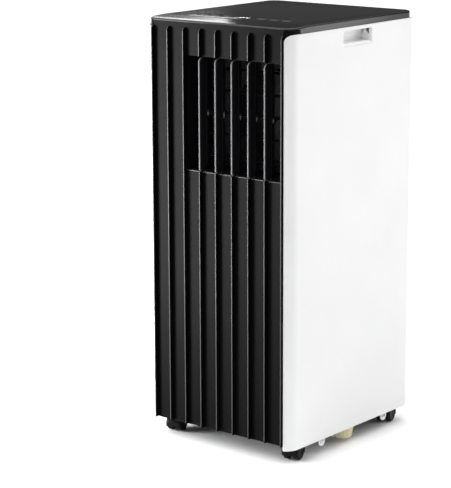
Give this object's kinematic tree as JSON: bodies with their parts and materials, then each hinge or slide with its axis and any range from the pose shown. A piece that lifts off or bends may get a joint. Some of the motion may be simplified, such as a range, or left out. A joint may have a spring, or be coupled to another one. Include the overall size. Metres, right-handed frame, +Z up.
{
  "type": "portable air conditioner",
  "caption": "Tall portable air conditioner: ribbed black front with a louvered outlet, white sides with hand grips, top control strip, rear filters and exhaust port, on twin-wheel casters.",
  "frame": {"origin": "on the floor under the centre of the footprint", "axes": "+Z up, -Y is the ribbed front, +X is the side next to the air outlet"},
  "size_m": [0.288, 0.332, 0.6865],
  "materials": {
    "satin_black_plastic": "satin moulded plastic",
    "lid_black_plastic": "satin moulded plastic",
    "white_plastic": "smooth white moulded plastic",
    "gloss_black_overlay": "glossy printed overlay",
    "keycap_black": "satin key caps",
    "inner_black_plastic": "matt moulded plastic",
    "grey_plastic": "matt moulded plastic",
    "caster_black": "moulded nylon",
    "natural_nylon": "translucent natural plastic",
    "painted_steel": "black enamel",
    "copper": null,
    "aluminium_fins": "bare fins",
    "circuit_board": "solder-masked board"
  },
  "bodies": {
    "cabinet": {"front_panel": "satin_black_plastic", "top_cover": "lid_black_plastic", "left_side_panel": "white_plastic", "right_side_panel": "white_plastic", "left_handle_cup": "white_plastic", "right_handle_cup": "white_plastic", "rear_cover": "white_plastic", "lower_intake_grille": "white_plastic", "exhaust_collar": "white_plastic", "control_overlay": "gloss_black_overlay", "display_lens": "gloss_black_overlay", "base_tray": "inner_black_plastic", "outlet_frame": "inner_black_plastic", "rear_drain_plug": "inner_black_plastic", "cord_gland": "inner_black_plastic", "electronics_box": "inner_black_plastic", "swing_motor": "grey_plastic", "mid_deck": "grey_plastic", "upper_blower_housing": "grey_plastic", "lower_blower_housing": "grey_plastic", "run_capacitor": "grey_plastic", "base_drain_cap": "natural_nylon", "upper_fan_motor": "painted_steel", "lower_fan_motor": "painted_steel", "compressor": "painted_steel", "hot_gas_pipe": "copper", "suction_pipe": "copper", "capillary_tube": "copper", "evaporator_coil": "aluminium_fins", "condenser_coil": "aluminium_fins", "control_board": "circuit_board"},
    "louver_1": {"louver_1": "satin_black_plastic"},
    "louver_2": {"louver_2": "satin_black_plastic"},
    "louver_3": {"louver_3": "satin_black_plastic"},
    "louver_4": {"louver_4": "satin_black_plastic"},
    "louver_5": {"louver_5": "satin_black_plastic"},
    "louver_link_bar": {"louver_link_bar": "inner_black_plastic"},
    "vane_1": {"vane_1": "inner_black_plastic"},
    "vane_2": {"vane_2": "inner_black_plastic"},
    "vane_3": {"vane_3": "inner_black_plastic"},
    "vane_4": {"vane_4": "inner_black_plastic"},
    "vane_5": {"vane_5": "inner_black_plastic"},
    "vane_link_bar": {"vane_link_bar": "inner_black_plastic"},
    "upper_filter_frame": {"upper_filter_frame": "white_plastic"},
    "upper_blower_wheel": {"upper_blower_wheel": "inner_black_plastic"},
    "lower_blower_wheel": {"lower_blower_wheel": "inner_black_plastic"},
    "key_power": {"key_power": "keycap_black"},
    "key_mode": {"key_mode": "keycap_black"},
    "key_timer": {"key_timer": "keycap_black"},
    "key_fan": {"key_fan": "keycap_black"},
    "key_down": {"key_down": "keycap_black"},
    "key_up": {"key_up": "keycap_black"},
    "caster_front_left_housing": {"caster_front_left_housing": "caster_black"},
    "caster_front_left_wheels": {"caster_front_left_wheels": "caster_black"},
    "caster_front_right_housing": {"caster_front_right_housing": "caster_black"},
    "caster_front_right_wheels": {"caster_front_right_wheels": "caster_black"},
    "caster_rear_left_housing": {"caster_rear_left_housing": "caster_black"},
    "caster_rear_left_wheels": {"caster_rear_left_wheels": "caster_black"},
    "caster_rear_right_housing": {"caster_rear_right_housing": "caster_black"},
    "caster_rear_right_wheels": {"caster_rear_right_wheels": "caster_black"}
  },
  "joints": [
    {"name": "louver_turn", "type": "hinge", "parent": "cabinet", "child": "louver_3", "pos_m": [0.032, -0.148, 0.54], "axis": [0, 0, 1], "range_deg": [-35, 35]},
    {"name": "louver_1_turn", "type": "hinge", "parent": "cabinet", "child": "louver_1", "pos_m": [-0.032, -0.148, 0.54], "axis": [0, 0, 1], "range_deg": [-35, 35]},
    {"name": "louver_2_turn", "type": "hinge", "parent": "cabinet", "child": "louver_2", "pos_m": [0, -0.148, 0.54], "axis": [0, 0, 1], "range_deg": [-35, 35]},
    {"name": "louver_4_turn", "type": "hinge", "parent": "cabinet", "child": "louver_4", "pos_m": [0.064, -0.148, 0.54], "axis": [0, 0, 1], "range_deg": [-35, 35]},
    {"name": "louver_5_turn", "type": "hinge", "parent": "cabinet", "child": "louver_5", "pos_m": [0.096, -0.148, 0.54], "axis": [0, 0, 1], "range_deg": [-35, 35]},
    {"name": "louver_link_turn", "type": "hinge", "parent": "louver_3", "child": "louver_link_bar", "pos_m": [0.032, -0.142, 0.54], "axis": [0, 0, 1], "range_deg": [-35, 35]},
    {"name": "vane_tilt", "type": "hinge", "parent": "cabinet", "child": "vane_3", "pos_m": [0.031, -0.121, 0.54], "axis": [1, 0, 0], "range_deg": [-30, 30]},
    {"name": "vane_1_tilt", "type": "hinge", "parent": "cabinet", "child": "vane_1", "pos_m": [0.031, -0.121, 0.471], "axis": [1, 0, 0], "range_deg": [-30, 30]},
    {"name": "vane_2_tilt", "type": "hinge", "parent": "cabinet", "child": "vane_2", "pos_m": [0.031, -0.121, 0.5055], "axis": [1, 0, 0], "range_deg": [-30, 30]},
    {"name": "vane_4_tilt", "type": "hinge", "parent": "cabinet", "child": "vane_4", "pos_m": [0.031, -0.121, 0.5745], "axis": [1, 0, 0], "range_deg": [-30, 30]},
    {"name": "vane_5_tilt", "type": "hinge", "parent": "cabinet", "child": "vane_5", "pos_m": [0.031, -0.121, 0.609], "axis": [1, 0, 0], "range_deg": [-30, 30]},
    {"name": "vane_link_tilt", "type": "hinge", "parent": "vane_3", "child": "vane_link_bar", "pos_m": [0.031, -0.112, 0.54], "axis": [1, 0, 0], "range_deg": [-30, 30]},
    {"name": "filter_tilt", "type": "hinge", "parent": "cabinet", "child": "upper_filter_frame", "pos_m": [0, 0.164, 0.4345], "axis": [-1, 0, 0], "range_deg": [0, 35]},
    {"name": "upper_blower_spin", "type": "hinge", "parent": "cabinet", "child": "upper_blower_wheel", "pos_m": [0.029, -0.057, 0.532], "axis": [0, 1, 0], "continuous": true},
    {"name": "lower_blower_spin", "type": "hinge", "parent": "cabinet", "child": "lower_blower_wheel", "pos_m": [0, 0.046, 0.148], "axis": [0, 1, 0], "continuous": true},
    {"name": "caster_front_left_swivel", "type": "hinge", "parent": "cabinet", "child": "caster_front_left_housing", "pos_m": [-0.12, -0.1265, 0.0306], "axis": [0, 0, 1], "continuous": true},
    {"name": "caster_front_left_roll", "type": "hinge", "parent": "caster_front_left_housing", "child": "caster_front_left_wheels", "pos_m": [-0.12145, -0.11965, 0.0135], "axis": [0.9781, 0.2079, 0], "continuous": true},
    {"name": "caster_front_right_swivel", "type": "hinge", "parent": "cabinet", "child": "caster_front_right_housing", "pos_m": [0.12, -0.1265, 0.0306], "axis": [0, 0, 1], "continuous": true},
    {"name": "caster_front_right_roll", "type": "hinge", "parent": "caster_front_right_housing", "child": "caster_front_right_wheels", "pos_m": [0.11854, -0.11965, 0.0135], "axis": [0.9781, 0.2079, 0], "continuous": true},
    {"name": "caster_rear_left_swivel", "type": "hinge", "parent": "cabinet", "child": "caster_rear_left_housing", "pos_m": [-0.12, 0.129, 0.0306], "axis": [0, 0, 1], "continuous": true},
    {"name": "caster_rear_left_roll", "type": "hinge", "parent": "caster_rear_left_housing", "child": "caster_rear_left_wheels", "pos_m": [-0.12145, 0.13585, 0.0135], "axis": [0.9781, 0.2079, 0], "continuous": true},
    {"name": "caster_rear_right_swivel", "type": "hinge", "parent": "cabinet", "child": "caster_rear_right_housing", "pos_m": [0.12, 0.129, 0.0306], "axis": [0, 0, 1], "continuous": true},
    {"name": "caster_rear_right_roll", "type": "hinge", "parent": "caster_rear_right_housing", "child": "caster_rear_right_wheels", "pos_m": [0.11854, 0.13585, 0.0135], "axis": [0.9781, 0.2079, 0], "continuous": true},
    {"name": "key_power_press", "type": "slide", "parent": "cabinet", "child": "key_power", "axis": [0, 0, -1], "range_m": [0, 0.0008], "stiffness_N_per_m": 300},
    {"name": "key_mode_press", "type": "slide", "parent": "cabinet", "child": "key_mode", "axis": [0, 0, -1], "range_m": [0, 0.0008], "stiffness_N_per_m": 300},
    {"name": "key_timer_press", "type": "slide", "parent": "cabinet", "child": "key_timer", "axis": [0, 0, -1], "range_m": [0, 0.0008], "stiffness_N_per_m": 300},
    {"name": "key_fan_press", "type": "slide", "parent": "cabinet", "child": "key_fan", "axis": [0, 0, -1], "range_m": [0, 0.0008], "stiffness_N_per_m": 300},
    {"name": "key_down_press", "type": "slide", "parent": "cabinet", "child": "key_down", "axis": [0, 0, -1], "range_m": [0, 0.0008], "stiffness_N_per_m": 300},
    {"name": "key_up_press", "type": "slide", "parent": "cabinet", "child": "key_up", "axis": [0, 0, -1], "range_m": [0, 0.0008], "stiffness_N_per_m": 300}
  ],
  "couplings": [
    {"joint": "louver_1_turn", "follows": "louver_turn", "ratio": 1},
    {"joint": "louver_2_turn", "follows": "louver_turn", "ratio": 1},
    {"joint": "louver_4_turn", "follows": "louver_turn", "ratio": 1},
    {"joint": "louver_5_turn", "follows": "louver_turn", "ratio": 1},
    {"joint": "louver_link_turn", "follows": "louver_turn", "ratio": -1},
    {"joint": "vane_1_tilt", "follows": "vane_tilt", "ratio": 1},
    {"joint": "vane_2_tilt", "follows": "vane_tilt", "ratio": 1},
    {"joint": "vane_4_tilt", "follows": "vane_tilt", "ratio": 1},
    {"joint": "vane_5_tilt", "follows": "vane_tilt", "ratio": 1},
    {"joint": "vane_link_tilt", "follows": "vane_tilt", "ratio": -1}
  ]
}
